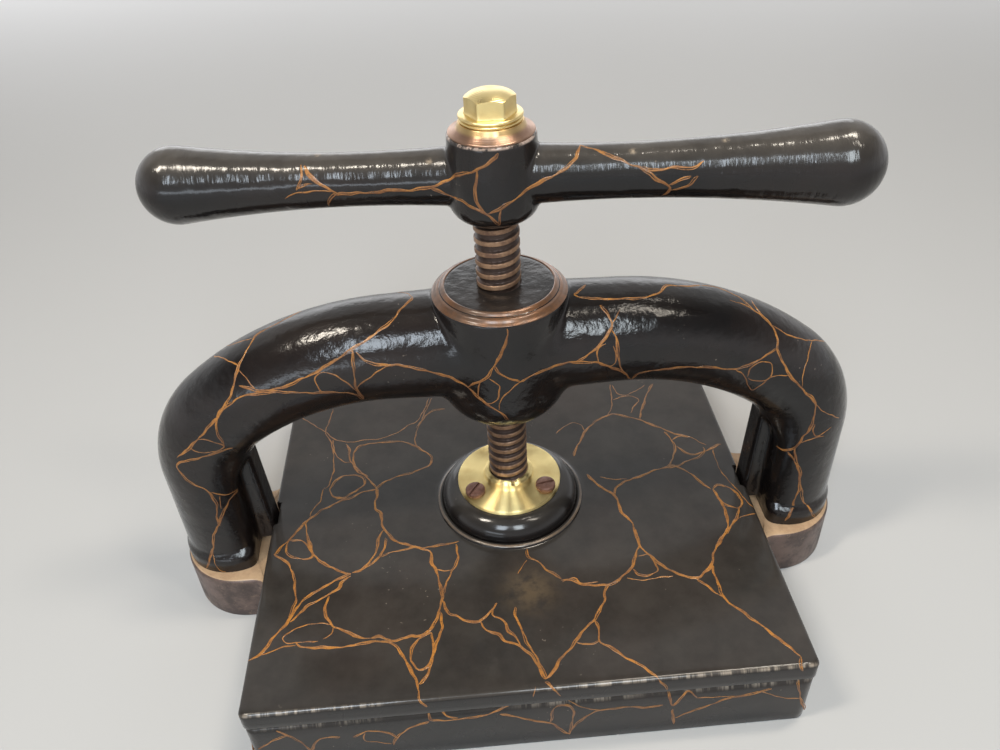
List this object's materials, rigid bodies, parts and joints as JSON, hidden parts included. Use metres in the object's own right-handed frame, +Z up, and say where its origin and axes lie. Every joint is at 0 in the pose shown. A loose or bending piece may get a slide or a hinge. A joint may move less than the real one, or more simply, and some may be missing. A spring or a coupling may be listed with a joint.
{
  "type": "book press",
  "caption": "Cast-iron nipping press: a flat platen driven down on a ribbed bed by a coarse screw in an arch, turned by a T-bar handle with swelling grips.",
  "frame": {"origin": "under the screw's axis, on the surface that the press stands on", "axes": "+X along the arch to the user's right, +Y away from the user, +Z up along the screw"},
  "size_m": [0.415, 0.28, 0.3099],
  "materials": {
    "japanned_iron": "gloss black japan with hand-painted gold veins",
    "brass": "polished, lightly tarnished",
    "screw_steel": "browned steel, oily",
    "rusty_steel": "rust-brown steel",
    "bolt_steel": "dark steel"
  },
  "bodies": {
    "frame": {"base_plate": "japanned_iron", "arch_frame": "japanned_iron", "arch_bolt_left": "bolt_steel", "arch_bolt_right": "bolt_steel", "arch_washer_left": "bolt_steel", "arch_washer_right": "bolt_steel"},
    "platen": {"platen": "japanned_iron", "thrust_disc": "screw_steel", "retaining_collar": "brass", "collar_screw_left": "rusty_steel", "collar_screw_right": "rusty_steel", "collar_screw_rear": "rusty_steel"},
    "screw": {"spindle": "screw_steel", "handle": "japanned_iron", "handle_washer": "brass", "cap_nut": "brass"}
  },
  "joints": [
    {"name": "platen_slide", "type": "slide", "parent": "frame", "child": "platen", "axis": [0, 0, 1], "range_m": [0, 0.04445]},
    {"name": "screw_turn", "type": "hinge", "parent": "platen", "child": "screw", "pos_m": [0, 0, 0.05], "axis": [0, 0, 1], "range_deg": [0, 2520]}
  ],
  "couplings": [
    {"joint": "platen_slide", "follows": "screw_turn", "m_per_rad": 0.0010106}
  ]
}
